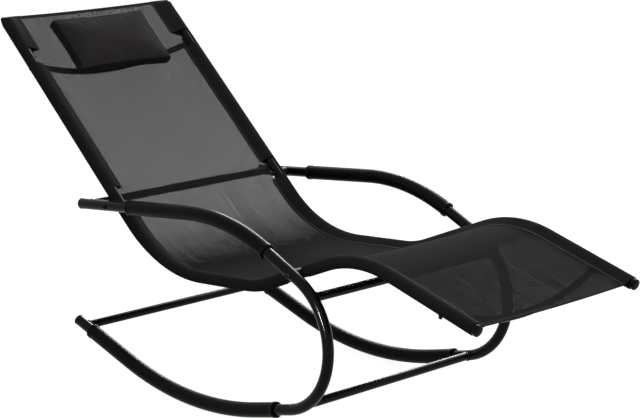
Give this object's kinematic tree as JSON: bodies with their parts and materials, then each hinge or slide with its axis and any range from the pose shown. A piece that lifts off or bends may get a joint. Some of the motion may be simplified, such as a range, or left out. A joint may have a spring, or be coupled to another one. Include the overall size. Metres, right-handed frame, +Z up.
{
  "type": "rocking chaise lounge",
  "caption": "Rocking chaise lounge: two bent tube side bows with curved floor runners, an S-shaped tube seat frame bolted between them, a textile sling and a small head pillow.",
  "frame": {"origin": "on the floor, below the middle of the chair's overall box", "axes": "+X towards the sitter's left, +Y towards the head end, +Z up"},
  "size_m": [0.6156, 1.613, 0.8384],
  "materials": {
    "frame_steel": "semi-gloss black powder coat",
    "sleeve_plastic": "satin black moulded sleeve",
    "cap_plastic": "glossy black moulding",
    "fastener_steel": "blackened zinc",
    "sling_weave": "open textile weave, dark grey",
    "hem_cloth": "dense matte cloth, black",
    "pillow_cloth": "matte padded cloth, black"
  },
  "bodies": {
    "chair": {"bow_left": "frame_steel", "bow_right": "frame_steel", "arm_sleeve_left": "sleeve_plastic", "arm_sleeve_right": "sleeve_plastic", "runner_sleeve_left": "sleeve_plastic", "runner_sleeve_right": "sleeve_plastic", "arm_cap_left": "cap_plastic", "arm_cap_right": "cap_plastic", "runner_cap_left": "cap_plastic", "runner_cap_right": "cap_plastic", "cross_tube_back": "frame_steel", "cross_tube_knee": "frame_steel", "cross_tube_front": "frame_steel", "cross_tube_rear": "frame_steel", "rail_left": "frame_steel", "rail_right": "frame_steel", "head_plug_left": "cap_plastic", "head_plug_right": "cap_plastic", "foot_cap_left": "cap_plastic", "foot_cap_right": "cap_plastic", "spreader_upper": "frame_steel", "spreader_lower": "frame_steel", "saddle_upper_left": "frame_steel", "saddle_upper_right": "frame_steel", "saddle_lower_left": "frame_steel", "saddle_lower_right": "frame_steel", "screw_upper_under_left": "fastener_steel", "screw_upper_under_right": "fastener_steel", "screw_upper_inner_left": "fastener_steel", "screw_upper_inner_right": "fastener_steel", "screw_lower_under_left": "fastener_steel", "screw_lower_under_right": "fastener_steel", "screw_lower_inner_left": "fastener_steel", "screw_lower_inner_right": "fastener_steel", "spacer_back_left": "cap_plastic", "spacer_back_right": "cap_plastic", "spacer_front_left": "cap_plastic", "spacer_front_right": "cap_plastic", "bolt_back_left": "fastener_steel", "bolt_back_right": "fastener_steel", "bolt_front_left": "fastener_steel", "bolt_front_right": "fastener_steel", "nut_back_left": "fastener_steel", "nut_back_right": "fastener_steel", "nut_front_left": "fastener_steel", "nut_front_right": "fastener_steel", "sling_panel": "sling_weave", "sling_hem_left": "hem_cloth", "sling_hem_right": "hem_cloth"},
    "pillow": {"pillow": "pillow_cloth", "pillow_strip_left": "hem_cloth", "pillow_strip_right": "hem_cloth"}
  },
  "joints": [
    {"name": "pillow_slide", "type": "slide", "parent": "chair", "child": "pillow", "axis": [0, -0.7475, -0.6642], "range_m": [0, 0.1]}
  ]
}
